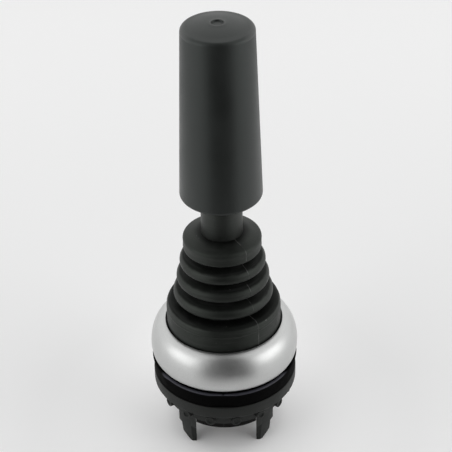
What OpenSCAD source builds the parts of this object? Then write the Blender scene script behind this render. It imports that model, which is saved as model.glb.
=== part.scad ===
// Panel joystick: the front element of a lever switch for a round panel hole.
// A tapered grip tilts on a two-axis gimbal under a rubber boot, and a rocker on the
// lever's lower end works four sprung plungers. A ring nut clamps it to the panel.
// Millimetres. The leg tips stand on z = 0, the lever points along +Z, the front is -Y.

/* [Panel fixing] */
// Diameter of the panel hole
panel_hole_d = 22.5; // [21:0.1:26]
// Radial clearance of the neck in the panel hole
hole_clearance = 0.35; // [0.1:0.05:0.6]
// Depth from the panel face to the leg tips
rear_depth = 14.3; // [12.5:0.1:20]
// Length of the neck behind the panel face
neck_length = 8.4; // [7.8:0.1:10]
// Wall of the neck
neck_wall = 1.4; // [1:0.1:1.8]
// Width of the relief groove that ends the thread of the neck
relief_w = 0.6; // [0.3:0.1:0.8]
// Depth of the relief groove
relief_depth = 0.4; // [0.2:0.1:0.6]

/* [Gasket] */
// Radial width of the gasket around the neck
gasket_w = 3.5; // [3.2:0.05:4]
// Thickness of the gasket under the flange
gasket_base_t = 1.2; // [0.8:0.1:1.8]
// Height of the gasket with its upstanding lip
gasket_h = 3.2; // [2.4:0.1:4]
// Thickness of the upstanding lip
gasket_lip_t = 1; // [0.6:0.1:1.4]
// Width of the locating notch in the lip
notch_w = 0.5; // [0.4:0.1:1.5]
// Depth of the locating notch
notch_depth = 0.3; // [0.2:0.1:0.8]
// Angle to which the gasket is turned on the neck
gasket_turn = -2; // [-10:1:10]

/* [Bezel] */
// Height of the groove between gasket and bezel
groove_h = 0.9; // [0.5:0.1:1.5]
// Wall of the bezel at its belly
bezel_wall = 2.4; // [1.8:0.1:3]
// Height of the belly above the lower edge
bezel_belly_h = 2.4; // [1.5:0.1:3.5]
// How far the lower edge draws in from the belly
bezel_draw_in = 0.7; // [0.3:0.1:1.2]
// Radial width of the lip over the boot clamp
bezel_lip_w = 0.75; // [0.4:0.05:1]
// Thickness of the lip
bezel_lip_t = 1.3; // [0.9:0.1:2]

/* [Housing] */
// Radial width of the ledge that carries the gimbal carrier
ledge_w = 1; // [0.7:0.1:1.2]
// Thickness of the ledge above the flange's underside
ledge_t = 0.8; // [0.6:0.1:1.5]
// Wall of the collar inside the bezel
collar_wall = 1.85; // [1.4:0.05:2.5]

/* [Ring nut] */
// Radial wall of the nut's flange
nut_wall = 3.55; // [3.2:0.05:4.5]
// Height of the nut's flange
nut_flange_h = 2.7; // [2:0.1:3]
// Whole height of the nut
nut_h = 5.9; // [5.5:0.1:6.2]
// How far the lower band steps in from the flange
nut_step = 2.05; // [1.2:0.05:2.2]
// Number of round grip nubs on the lower band
nub_count = 16; // [8:1:20]
// Width of a nub
nub_d = 1.9; // [1.6:0.1:2.2]
// Height of a nub's middle above the nut's lower edge
nub_rise = 1.3; // [1.1:0.1:1.4]
// How far a nub stands proud of the lower band
nub_proud = 0.9; // [0.4:0.1:1.2]
// Angle to which the nut is turned on the neck
nut_turn = -2; // [-11:1:11]
// Radial clearance of the nut on the neck's thread
thread_clearance = 0.1; // [0.05:0.05:0.2]

/* [Legs] */
// Angle from the front at which a leg's flat front meets the outer wall
leg_start_angle = 42; // [38:1:46]
// Angle from the front at which a leg ends
leg_end_angle = 60; // [56:1:62]
// Radial thickness of a leg
leg_t = 1.7; // [1.3:0.1:2.2]
// How far a leg's flat front reaches inwards from the outer wall
leg_side_w = 1.1; // [0.6:0.1:1.3]
// How far the round root of a leg reaches below the neck, above the flat front
root_drop = 1.8; // [1.2:0.1:2.4]
// How far the outer wall of a leg tapers in from its root to its tip
leg_taper = 0.2; // [0.1:0.05:0.4]
// Flat width left on a leg's tip beside the slanted corner
tip_flat_w = 0.1; // [0:0.1:0.5]
// Height of the slanted corner
tip_slant_h = 1.4; // [0.8:0.1:2]
// How far the end of a leg leans in from its root to the slanted corner
leg_lean = 0.5; // [0.2:0.1:0.8]
// Width of the shoulder beside a leg's root
shoulder_w = 1; // [0.6:0.1:1.3]
// Height of the shoulder
shoulder_h = 2.9; // [2:0.1:3.4]
// How far the shoulder lies behind the leg's outer wall
shoulder_set_back = 0.2; // [0.2:0.05:0.6]
// Thickness of the floor between the legs
floor_t = 1.4; // [1:0.1:1.8]
// Clearance of a leg's root in its slot
slot_clearance = 0.1; // [0.05:0.05:0.2]
// Length of a leg's root up in the neck's slot, above the floor's underside
leg_root_h = 1.3; // [1:0.1:1.4]

/* [Bellows] */
// Radial gap between the skirt and the bezel's lip
skirt_gap = 0.25; // [0.2:0.05:0.5]
// Height of the skirt's shoulder above the bezel
skirt_rise = 5.3; // [4.6:0.1:6]
// Radius of the shoulder
shoulder_round = 1.5; // [1:0.1:2]
// Height of the lowest lip above the shoulder
low_lip_rise = 1.9; // [1.6:0.1:2.4]
// Number of lips above the skirt
lip_count = 4; // [3:1:6]
// Diameter of the lowest lip
low_lip_d = 19.8; // [18.6:0.1:21]
// Diameter of the top lip
top_lip_d = 15.5; // [14.8:0.1:17]
// Distance from lip to lip
lip_pitch = 3.7; // [3.2:0.1:4.5]
// How boldly the lips are rounded between narrow folds
fold_power = 5; // [3:1:8]
// Depth of the folds between the lips
fold_depth = 2.4; // [1.6:0.1:2.5]
// Wall of the boot
boot_wall = 0.8; // [0.6:0.1:0.9]
// Height of the top cone above the top lip
cone_rise = 2.9; // [2.6:0.05:3.4]
// Length of the sleeve that grips the shaft
sleeve_length = 4.2; // [3.4:0.1:4.6]
// Wall of the sleeve
sleeve_wall = 0.9; // [0.7:0.1:1]
// Thickness of the foot under the clamp ring
foot_t = 1; // [0.7:0.1:1.5]
// How far the foot covers the gimbal carrier
foot_cover = 0.9; // [0.5:0.1:1.2]
// Height of the clamp ring
clamp_h = 1.6; // [1.2:0.1:2.2]

/* [Lever] */
// Diameter of the shaft
shaft_d = 8.1; // [7.4:0.1:8.6]
// Length of shaft between the boot and the grip
shaft_show = 8.4; // [6:0.1:14]
// Step of the shaft's collar under the grip
shaft_collar_step = 0.15; // [0.1:0.05:0.4]
// Height of the shaft's collar
shaft_collar_h = 1.4; // [0.8:0.1:2.5]
// Depth of the shaft's socket in the grip
socket_depth = 16; // [10:0.5:24]
// Diameter of the grip's lower end
grip_low_d = 16; // [14:0.1:20]
// Diameter of the grip's upper end
grip_top_d = 13.6; // [11:0.1:18]
// Length of the grip along its side
grip_length = 35.3; // [28:0.1:45]
// Height of the grip's domed top
grip_dome = 0.9; // [0.2:0.1:1.5]
// Radius of the grip's edges
grip_edge = 0.7; // [0.4:0.1:1.2]
// Diameter of the round gate mark in the grip's top
gate_d = 2.4; // [1.5:0.1:3.5]
// Depth of the gate mark
gate_depth = 0.25; // [0.1:0.05:0.4]

/* [Gimbal] */
// Largest tilt of the lever to each side, in degrees
tilt_max = 12; // [8:1:13]
// Height of the gimbal carrier
carrier_h = 6; // [5.4:0.1:7]
// Radial wall of the gimbal carrier
carrier_wall = 1.6; // [1.3:0.1:1.8]
// Height of the gimbal ring
gimbal_h = 3.2; // [2.8:0.1:3.6]
// Radial wall of the gimbal ring
gimbal_wall = 2.3; // [1.8:0.1:2.5]
// Radial gap between the gimbal ring and its carrier
gimbal_gap = 0.4; // [0.3:0.05:0.6]
// Diameter of the pivot pins
pin_d = 2; // [1.5:0.1:2.2]
// Radial running clearance of a pin in the piece that turns on it
running_clearance = 0.04; // [0.02:0.01:0.08]

/* [Rocker] */
// Radial gap between the rocker's hub and the gimbal ring
hub_gap = 1.4; // [1.2:0.1:1.6]
// Height of the hub above the pivot
hub_rise = 2.6; // [2:0.1:3.2]
// Thickness of the rocker's arms
arm_t = 1.2; // [0.9:0.1:1.6]
// Diameter of the shaft's spigot in the hub
spigot_d = 4.8; // [4.2:0.1:5.2]
// Length of the spigot
spigot_length = 4; // [3.4:0.1:4.6]
// Diameter of the rocker's screw
screw_d = 3; // [2.5:0.1:3.2]
// Diameter of the screw's head
screw_head_d = 4.8; // [4.4:0.1:5.2]
// Height of the screw's head
screw_head_h = 1.3; // [1:0.1:1.6]

/* [Plungers] */
// Diameter of the circle on which the plungers stand
plunger_circle_d = 11.2; // [10.6:0.1:11.4]
// Diameter of a plunger's stem and round tip
plunger_d = 2.8; // [2.4:0.1:3]
// How far a collar stands out around the stem
collar_step = 0.6; // [0.5:0.05:0.7]
// Thickness of a plunger's collar
plunger_collar_t = 1; // [0.7:0.1:1.2]
// Length of a plunger below the floor
plunger_show = 1.5; // [1:0.1:2.5]
// Spare play between a plunger and its arm at full tilt
play_spare = 0.08; // [0.05:0.01:0.15]
// Length of a spring at rest
spring_length = 3.2; // [2.8:0.1:3.5]
// Wire diameter of a spring
spring_wire_d = 0.4; // [0.3:0.05:0.45]
// Number of turns in a spring
spring_turns = 4; // [3:0.5:4]
// Clearance of a spring around the stem and of a stem in the floor
guide_clearance = 0.06; // [0.04:0.01:0.1]

/* [Hidden] */
$fn = 96;

// Clearance between pieces that seat in each other
seat_gap = 0.05;
// Margin by which a cut runs past the face that it opens
past = 1;

// Radii, from the neck outwards and inwards
neck_r = panel_hole_d / 2 - hole_clearance;
bore_r = neck_r - neck_wall;
carrier_r = bore_r + ledge_w;
carrier_in_r = carrier_r - carrier_wall;
gimbal_r = carrier_in_r - gimbal_gap;
gimbal_in_r = gimbal_r - gimbal_wall;
hub_r = gimbal_in_r - hub_gap;
collar_r = carrier_r + seat_gap + collar_wall;
bezel_bore_r = collar_r + seat_gap;
bezel_r = bezel_bore_r + bezel_wall;
opening_r = bezel_bore_r - bezel_lip_w;
skirt_r = opening_r - skirt_gap;
gasket_r = neck_r + gasket_w;
flange_r = gasket_r - gasket_lip_t - seat_gap;
nut_bore_r = neck_r + thread_clearance;
nut_r = nut_bore_r + nut_wall;
nut_low_r = nut_r - nut_step;
shaft_r = shaft_d / 2;
pin_r = pin_d / 2;
plunger_r = plunger_d / 2;
plunger_circle_r = plunger_circle_d / 2;

// Heights, from the leg tips upwards
panel_z = rear_depth;
neck_end_z = panel_z - neck_length;
floor_top_z = neck_end_z + floor_t;
leg_top_z = neck_end_z + leg_root_h;
root_low_z = neck_end_z - root_drop;
flange_low_z = panel_z + gasket_base_t;
flange_top_z = panel_z + gasket_h + groove_h;
ledge_z = flange_low_z + ledge_t;
pivot_z = ledge_z + carrier_h / 2;
collar_z = ledge_z + carrier_h;
foot_top_z = collar_z + foot_t;
clamp_top_z = foot_top_z + clamp_h;
bezel_top_z = clamp_top_z + bezel_lip_t;
belly_z = flange_top_z + bezel_belly_h;
shoulder_z = bezel_top_z + skirt_rise;
low_lip_z = shoulder_z + low_lip_rise;
top_lip_z = low_lip_z + (lip_count - 1) * lip_pitch;
boot_top_z = top_lip_z + cone_rise;
grip_z = boot_top_z + shaft_show;
grip_top_z = grip_z + grip_length;
hub_top_z = pivot_z + hub_rise;

// The neck's thread ends at the nut's lower edge, and its plain end goes into the panel hole first
relief_top_z = panel_z - nut_h;
relief_low_z = relief_top_z - relief_w;

// The arms hang low enough to clear the gimbal ring at full tilt
arm_w = plunger_d + 2 * collar_step;
arm_reach = plunger_circle_r + arm_w / 2;
arm_drop = (gimbal_h / 2 + arm_reach * sin(tilt_max) + 0.75 * gimbal_gap) / cos(tilt_max);
arm_top_z = pivot_z - arm_drop;
arm_low_z = arm_top_z - arm_t;

// Play that keeps a plunger clear of its arm when the lever tilts both ways at once
tilt_rad = tilt_max * PI / 180;
tip_arm = pivot_z - arm_low_z + plunger_r;
corner_sink = tip_arm * (1 / pow(cos(tilt_max), 2) - 1);
corner_lag = plunger_circle_r * (tan(tilt_max) / cos(tilt_max) - tilt_rad);
plunger_top_z = arm_low_z - corner_sink - corner_lag - play_spare;
plunger_collar_z = floor_top_z + spring_length;

// Fit of the boot's sleeve on the shaft, and the flatter ring around the shaft on its top
sleeve_r = shaft_r + seat_gap;
top_ring_w = 1.55;
top_ring_rise = 0.3;
boot_rim_h = 1.3;
boot_rim_r = 0.6;
fold_steps = 12;

// Lower edge of the spring wire's coil around a stem
spring_r = plunger_r + guide_clearance + spring_wire_d / 2;
wire_sides = 8;
wire_steps = 14;

// Points of an arc about a centre
function arc(centre, r, from, to, steps) = [
    for (i = [0 : steps])
        let (a = from + (to - from) * i / steps)
        centre + r * [cos(a), sin(a)]
];

// Points of a quarter ellipse between an outermost point and a topmost or lowest point
function quarter(outer, end, from, to, steps) = [
    for (i = [0 : steps])
        let (a = from + (to - from) * i / steps)
        [end[0] + (outer[0] - end[0]) * cos(a), outer[1] + (end[1] - outer[1]) * sin(a)]
];

// Radius of lip number i of the boot
function lip_r(i) = (low_lip_d + (top_lip_d - low_lip_d) * i / (lip_count - 1)) / 2;

// Height of lip number i, where the fold below the lowest lip begins at the shoulder
function lip_z(i) = low_lip_z + (i < 0 ? -2 * low_lip_rise : i * lip_pitch);

// Point of the boot's outer wall at share f of the way from lip i to the next lip
function fold_point(i, f) =
    let (fold_r = lip_r(i + 1) - fold_depth, crest_r = lip_r(f < 0.5 ? i : i + 1))
    [
        fold_r + (crest_r - fold_r) * (1 - pow(sin(180 * f), fold_power)),
        lip_z(i) + f * (lip_z(i + 1) - lip_z(i))
    ];

// The boot's folded wall from the shoulder up to the top lip
function folds() = [
    for (i = [-1 : lip_count - 2], s = [i < 0 ? fold_steps / 2 : 0 : fold_steps - 1])
        fold_point(i, s / fold_steps)
];

// A list of profile points in the opposite order
function backwards(points) = [for (i = [len(points) - 1 : -1 : 0]) points[i]];

// Places a plunger or a spring at an angle on the plunger circle
module at_plunger(angle) {
    rotate([0, 0, angle])
        translate([plunger_circle_r, 0, 0])
            children();
}

// A round pin along +X between two distances from the lever's axis, at pivot height
module radial_pin(r, from, to) {
    translate([from, 0, pivot_z])
        rotate([0, 90, 0])
            cylinder(r = r, h = to - from);
}

// A round tube between two heights
module tube(r_out, r_in, low, high) {
    translate([0, 0, low])
        difference() {
            cylinder(r = r_out, h = high - low);
            translate([0, 0, -past])
                cylinder(r = r_in, h = high - low + 2 * past);
        }
}

// Copies a shape from the back right quarter into all four quarters
module in_quarters() {
    for (x = [0, 1], y = [0, 1])
        mirror([x, 0, 0])
            mirror([0, y, 0])
                children();
}

// Outline of a leg seen from above, inside its round outer wall
module leg_outline() {
    difference() {
        translate([neck_r * sin(leg_start_angle) - leg_side_w, neck_r * cos(leg_end_angle)])
            square(neck_r);
        circle(r = neck_r - leg_t);
    }
}

// The space inside the outer wall of the legs, which tapers in below their roots
module leg_space() {
    rotate_extrude()
        polygon([[0, 0], [neck_r - leg_taper, 0], [neck_r, root_low_z], [neck_r, leg_top_z], [0, leg_top_z]]);
}

// Outline of the narrow shoulder beside a leg's root
module shoulder_outline() {
    end_y = neck_r * cos(leg_end_angle);
    intersection() {
        difference() {
            circle(r = neck_r - shoulder_set_back);
            circle(r = neck_r - leg_t);
        }
        translate([0, end_y - shoulder_w])
            square([neck_r, shoulder_w]);
    }
}

// Side view of what the leaning end and the slanted corner take off a leg
module leg_trim() {
    root_x = neck_r * sin(leg_end_angle);
    tip_x = neck_r * sin(leg_start_angle) + tip_flat_w;
    polygon([
        [tip_x, -past], [tip_x, 0], [root_x - leg_lean, tip_slant_h],
        [root_x, neck_end_z], [2 * neck_r, neck_end_z], [2 * neck_r, -past]
    ]);
}

// One leg, flat in front below its root, which leans in at its end and has a slanted corner at its tip
module leg() {
    difference() {
        intersection() {
            leg_space();
            translate([0, 0, -past])
                linear_extrude(leg_top_z + 2 * past)
                    leg_outline();
        }
        translate([0, neck_r * cos(leg_start_angle), -past])
            cube([neck_r, neck_r, root_low_z + past]);
        rotate([90, 0, 0])
            translate([0, 0, -neck_r])
                linear_extrude(neck_r)
                    leg_trim();
    }
    translate([0, 0, neck_end_z - shoulder_h])
        linear_extrude(shoulder_h)
            shoulder_outline();
}

module handle() {
    low_r = grip_low_d / 2;
    top_r = grip_top_d / 2;
    lean = atan((low_r - top_r) / grip_length);
    dome_r = top_r - grip_edge;
    dome = [for (s = [1 : -0.2 : 0]) [dome_r * s, grip_top_z + grip_dome * (1 - s * s)]];
    low_edge = arc([low_r - grip_edge, grip_z + grip_edge], grip_edge, -90, lean, 5);
    top_edge = arc([top_r - grip_edge, grip_top_z - grip_edge], grip_edge, lean, 90, 5);
    color("#242627")
        difference() {
            rotate_extrude()
                polygon(concat([[0, grip_z]], low_edge, top_edge, dome));
            translate([0, 0, grip_z - past])
                cylinder(r = shaft_r + seat_gap, h = socket_depth + past);
            translate([0, 0, grip_top_z + grip_dome - gate_depth])
                cylinder(d = gate_d, h = past);
        }
}

module lever_shaft() {
    screw_depth = spigot_length - pin_d / 2;
    color("#2f3233")
        difference() {
            union() {
                translate([0, 0, hub_top_z])
                    cylinder(r = shaft_r, h = grip_z + socket_depth - hub_top_z);
                translate([0, 0, grip_z - shaft_collar_h])
                    cylinder(r = shaft_r + shaft_collar_step, h = shaft_collar_h);
                translate([0, 0, hub_top_z - spigot_length])
                    cylinder(d = spigot_d, h = spigot_length);
            }
            translate([0, 0, hub_top_z - spigot_length - past])
                cylinder(d = screw_d + 2 * seat_gap, h = screw_depth + past);
        }
}

module bellows() {
    foot_r = bezel_bore_r - seat_gap;
    foot_in_r = carrier_r - foot_cover;
    outer_folds = folds();
    inner_folds = [for (p = outer_folds) p - [boot_wall, 0]];
    rim_r = top_lip_d / 2;
    rim_z = top_lip_z + boot_rim_h;
    sleeve_low_z = boot_top_z - sleeve_length;
    bend = [skirt_r - shoulder_round, shoulder_z - shoulder_round];
    outside = concat(
        [[foot_in_r, collar_z], [foot_r, collar_z], [foot_r, foot_top_z], [skirt_r, foot_top_z]],
        arc(bend, shoulder_round, 0, 90, 6),
        outer_folds,
        [[rim_r, top_lip_z]],
        arc([rim_r - boot_rim_r, rim_z], boot_rim_r, 0, 60, 5),
        [[sleeve_r + top_ring_w, boot_top_z - top_ring_rise], [sleeve_r, boot_top_z]]
    );
    inside = concat(
        [[sleeve_r, sleeve_low_z], [sleeve_r + sleeve_wall, sleeve_low_z]],
        [[sleeve_r + sleeve_wall, boot_top_z - boot_wall], [rim_r - boot_wall, top_lip_z]],
        backwards(inner_folds),
        [[inner_folds[0][0], shoulder_z - boot_wall]],
        arc(bend, shoulder_round - boot_wall, 90, 0, 6),
        [[skirt_r - boot_wall, foot_top_z], [foot_in_r, foot_top_z]]
    );
    color("#1d1f1f")
        rotate_extrude()
            polygon(concat(outside, inside));
}

module bellows_clamp_ring() {
    color("#3a3d3f")
        tube(bezel_bore_r - seat_gap, skirt_r + seat_gap, foot_top_z, clamp_top_z);
}

module bezel() {
    belly = [bezel_r, belly_z];
    lower = quarter(belly, [bezel_r - bezel_draw_in, flange_top_z], 90, 0, 8);
    upper = quarter(belly, [opening_r, bezel_top_z], 5, 90, 17);
    color("#c4c7c8")
        rotate_extrude()
            polygon(concat(
                [[bezel_bore_r, flange_top_z]], lower, upper,
                [[opening_r, clamp_top_z], [bezel_bore_r, clamp_top_z]]
            ));
}

module housing() {
    pocket_r = carrier_r + seat_gap;
    color("#151617")
        difference() {
            union() {
                translate([0, 0, neck_end_z])
                    cylinder(r = neck_r, h = flange_low_z - neck_end_z);
                translate([0, 0, flange_low_z])
                    cylinder(r = flange_r, h = flange_top_z - flange_low_z);
                translate([0, 0, flange_top_z])
                    cylinder(r = collar_r, h = collar_z - flange_top_z);
            }
            translate([0, 0, neck_end_z - past])
                cylinder(r = bore_r, h = ledge_z - neck_end_z + 2 * past);
            translate([0, 0, ledge_z])
                cylinder(r = pocket_r, h = carrier_h + past);
            tube(neck_r + past, neck_r - relief_depth, relief_low_z, relief_top_z);
            in_quarters()
                translate([0, 0, neck_end_z - past])
                    linear_extrude(leg_root_h + past)
                        slot_outline();
        }
}

// Outline of the slot for a leg's root, open through the neck's wall
module slot_outline() {
    start_x = neck_r * sin(leg_start_angle) - leg_side_w - slot_clearance;
    translate([start_x, neck_r * cos(leg_end_angle) - slot_clearance])
        square(neck_r);
}

module gasket() {
    edge = gasket_lip_t / 3;
    lip_in_r = gasket_r - gasket_lip_t;
    top_z = panel_z + gasket_h;
    neck_side_r = neck_r + seat_gap;
    color("#101112")
        difference() {
            rotate_extrude()
                polygon(concat(
                    [[neck_side_r, panel_z], [gasket_r, panel_z]],
                    arc([gasket_r - edge, top_z - edge], edge, 0, 90, 5),
                    [[lip_in_r, top_z], [lip_in_r, flange_low_z], [neck_side_r, flange_low_z]]
                ));
            rotate([0, 0, gasket_turn])
                translate([-notch_w / 2, -gasket_r - past, top_z - notch_depth])
                    cube([notch_w, gasket_lip_t + past, notch_depth + past]);
        }
}

module ring_nut() {
    low_z = panel_z - nut_h;
    nub_in_r = (nut_bore_r + nut_low_r) / 2;
    color("#3f4244")
        union() {
            tube(nut_r, nut_bore_r, panel_z - nut_flange_h, panel_z);
            tube(nut_low_r, nut_bore_r, low_z, panel_z - nut_flange_h);
            for (i = [0 : nub_count - 1])
                rotate([0, 0, nut_turn + (i + 0.5) * 360 / nub_count])
                    translate([nub_in_r, 0, low_z + nub_rise])
                        rotate([0, 90, 0])
                            cylinder(d = nub_d, h = nut_low_r + nub_proud - nub_in_r);
        }
}

module leg_base() {
    color("#424547")
        difference() {
            union() {
                translate([0, 0, neck_end_z])
                    cylinder(r = bore_r - seat_gap, h = floor_t);
                in_quarters()
                    leg();
            }
            for (angle = [0 : 90 : 270])
                at_plunger(angle)
                    translate([0, 0, neck_end_z - past])
                        cylinder(r = plunger_r + guide_clearance, h = floor_t + 2 * past);
        }
}

module gimbal_carrier() {
    color("#4a4d50")
        difference() {
            tube(carrier_r, carrier_in_r, ledge_z, collar_z);
            for (angle = [0, 180])
                rotate([0, 0, angle])
                    radial_pin(pin_r + seat_gap / 2, carrier_in_r - past, carrier_r + past);
        }
}

module gimbal_ring() {
    color("#8f8a80")
        difference() {
            tube(gimbal_r, gimbal_in_r, pivot_z - gimbal_h / 2, pivot_z + gimbal_h / 2);
            for (angle = [0, 180])
                rotate([0, 0, angle])
                    radial_pin(pin_r + running_clearance, gimbal_in_r - past, gimbal_r + past);
            for (angle = [90, 270])
                rotate([0, 0, angle])
                    radial_pin(pin_r + seat_gap / 2, gimbal_in_r - past, gimbal_r + past);
        }
}

// An outer pivot pin, from the carrier into the gimbal ring
module carrier_pin(angle) {
    color("#a9acae")
        rotate([0, 0, angle])
            radial_pin(pin_r, gimbal_in_r + gimbal_gap, carrier_r - seat_gap);
}

module carrier_pin_left() {
    carrier_pin(180);
}

module carrier_pin_right() {
    carrier_pin(0);
}

// An inner pivot pin, from the gimbal ring into the rocker's hub
module hub_pin(angle) {
    color("#a9acae")
        rotate([0, 0, angle])
            radial_pin(pin_r, spigot_d / 2 + gimbal_gap, gimbal_r - gimbal_gap / 2);
}

module hub_pin_front() {
    hub_pin(270);
}

module hub_pin_back() {
    hub_pin(90);
}

module rocker() {
    spigot_low_z = hub_top_z - spigot_length;
    color("#cfcabd")
        difference() {
            union() {
                translate([0, 0, arm_low_z])
                    cylinder(r = hub_r, h = hub_top_z - arm_low_z);
                for (angle = [0 : 90 : 270])
                    rotate([0, 0, angle])
                        arm();
            }
            translate([0, 0, spigot_low_z])
                cylinder(d = spigot_d + 2 * seat_gap, h = spigot_length + past);
            translate([0, 0, arm_low_z - past])
                cylinder(d = screw_d + 2 * seat_gap, h = spigot_low_z - arm_low_z + 2 * past);
            for (angle = [90, 270])
                rotate([0, 0, angle])
                    radial_pin(pin_r + running_clearance, spigot_d / 2, hub_r + past);
        }
}

// One round-ended arm of the rocker, along +X
module arm() {
    translate([0, -arm_w / 2, arm_low_z])
        cube([plunger_circle_r, arm_w, arm_t]);
    translate([plunger_circle_r, 0, arm_low_z])
        cylinder(d = arm_w, h = arm_t);
}

module rocker_screw() {
    tip_z = hub_top_z - pin_d / 2 - 2 * seat_gap;
    color("#b4b6b8")
        union() {
            translate([0, 0, arm_low_z - screw_head_h])
                cylinder(d = screw_head_d, h = screw_head_h);
            translate([0, 0, arm_low_z])
                cylinder(d = screw_d, h = tip_z - arm_low_z);
        }
}

// A plunger with a round tip under the rocker's arm and a collar on its spring
module plunger(angle) {
    low_z = neck_end_z - plunger_show;
    tip_z = plunger_top_z - plunger_r;
    color("#d8d4c8")
        at_plunger(angle)
            union() {
                translate([0, 0, low_z])
                    cylinder(r = plunger_r, h = tip_z - low_z);
                translate([0, 0, tip_z])
                    sphere(r = plunger_r);
                translate([0, 0, plunger_collar_z])
                    cylinder(r = plunger_r + collar_step, h = plunger_collar_t);
            }
}

module plunger_front() {
    plunger(270);
}

module plunger_back() {
    plunger(90);
}

module plunger_left() {
    plunger(180);
}

module plunger_right() {
    plunger(0);
}

// Ring of points around the wire after a share s of the spring's length
function wire_ring(s) =
    let (turn = 360 * spring_turns * s, wire_r = spring_wire_d / 2)
    [
        for (k = [0 : wire_sides - 1])
            let (a = 360 * k / wire_sides, r = spring_r + wire_r * cos(a))
            [
                r * cos(turn),
                r * sin(turn),
                floor_top_z + wire_r + (spring_length - spring_wire_d) * s + wire_r * sin(a)
            ]
    ];

// A round-wire compression spring around a plunger's stem
module spring(angle) {
    rings = floor(spring_turns * wire_steps);
    points = [for (i = [0 : rings]) each wire_ring(i / rings)];
    sides = [
        for (i = [0 : rings - 1], k = [0 : wire_sides - 1])
            let (a = i * wire_sides, b = (k + 1) % wire_sides)
            [a + k, a + wire_sides + k, a + wire_sides + b, a + b]
    ];
    start_cap = [for (k = [0 : wire_sides - 1]) k];
    end_cap = [for (k = [wire_sides - 1 : -1 : 0]) rings * wire_sides + k];
    color("#b9bcbe")
        at_plunger(angle)
            polyhedron(points, concat(sides, [start_cap, end_cap]));
}

module spring_front() {
    spring(270);
}

module spring_back() {
    spring(90);
}

module spring_left() {
    spring(180);
}

module spring_right() {
    spring(0);
}

handle();
lever_shaft();
bellows();
bellows_clamp_ring();
bezel();
housing();
gasket();
ring_nut();
leg_base();
gimbal_carrier();
gimbal_ring();
carrier_pin_left();
carrier_pin_right();
hub_pin_front();
hub_pin_back();
rocker();
rocker_screw();
plunger_front();
plunger_back();
plunger_left();
plunger_right();
spring_front();
spring_back();
spring_left();
spring_right();
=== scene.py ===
import math

import bmesh
import bpy
from mathutils import Matrix, Vector
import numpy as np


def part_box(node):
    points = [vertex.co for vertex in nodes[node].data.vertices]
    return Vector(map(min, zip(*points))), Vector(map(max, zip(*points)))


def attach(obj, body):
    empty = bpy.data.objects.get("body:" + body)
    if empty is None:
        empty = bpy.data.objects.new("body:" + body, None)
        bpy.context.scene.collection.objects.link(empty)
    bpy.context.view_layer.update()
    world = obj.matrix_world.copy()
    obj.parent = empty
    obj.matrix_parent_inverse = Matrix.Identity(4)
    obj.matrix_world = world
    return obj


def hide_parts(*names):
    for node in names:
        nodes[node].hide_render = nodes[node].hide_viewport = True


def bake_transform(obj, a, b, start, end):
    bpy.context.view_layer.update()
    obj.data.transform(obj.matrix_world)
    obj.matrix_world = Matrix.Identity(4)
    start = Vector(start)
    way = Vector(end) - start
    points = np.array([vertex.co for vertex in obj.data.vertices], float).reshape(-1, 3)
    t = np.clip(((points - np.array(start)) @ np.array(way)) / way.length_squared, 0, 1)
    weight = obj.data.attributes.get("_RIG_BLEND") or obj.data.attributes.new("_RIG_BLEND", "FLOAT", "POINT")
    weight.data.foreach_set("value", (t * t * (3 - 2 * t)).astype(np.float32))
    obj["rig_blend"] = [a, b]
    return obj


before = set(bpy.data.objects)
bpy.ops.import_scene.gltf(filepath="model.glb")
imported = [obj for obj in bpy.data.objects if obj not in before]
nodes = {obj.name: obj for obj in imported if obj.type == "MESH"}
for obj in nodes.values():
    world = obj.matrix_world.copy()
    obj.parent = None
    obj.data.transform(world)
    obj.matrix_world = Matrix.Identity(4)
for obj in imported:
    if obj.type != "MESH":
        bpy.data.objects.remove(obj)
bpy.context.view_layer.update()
mm = 0.001
print("frame loaded with", len(nodes), "nodes")


class Value:
    # one output socket, so that sums and products of values add their Math nodes
    def __init__(self, finish, socket):
        self.finish = finish
        self.socket = socket

    def math(self, operation, first, second=0.0):
        return self.finish.add("Math", {"operation": operation}, {0: first, 1: second})

    def __add__(self, other):
        return self.math("ADD", self, other)

    def __radd__(self, other):
        return self.math("ADD", other, self)

    def __sub__(self, other):
        return self.math("SUBTRACT", self, other)

    def __rsub__(self, other):
        return self.math("SUBTRACT", other, self)

    def __mul__(self, other):
        return self.math("MULTIPLY", self, other)

    def __rmul__(self, other):
        return self.math("MULTIPLY", other, self)

    def __truediv__(self, other):
        return self.math("DIVIDE", self, other)

    def __rtruediv__(self, other):
        return self.math("DIVIDE", other, self)

    def __gt__(self, other):
        return self.math("GREATER_THAN", self, other)

    def __lt__(self, other):
        return self.math("LESS_THAN", self, other)

    def __abs__(self):
        return self.math("ABSOLUTE", self)


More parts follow.
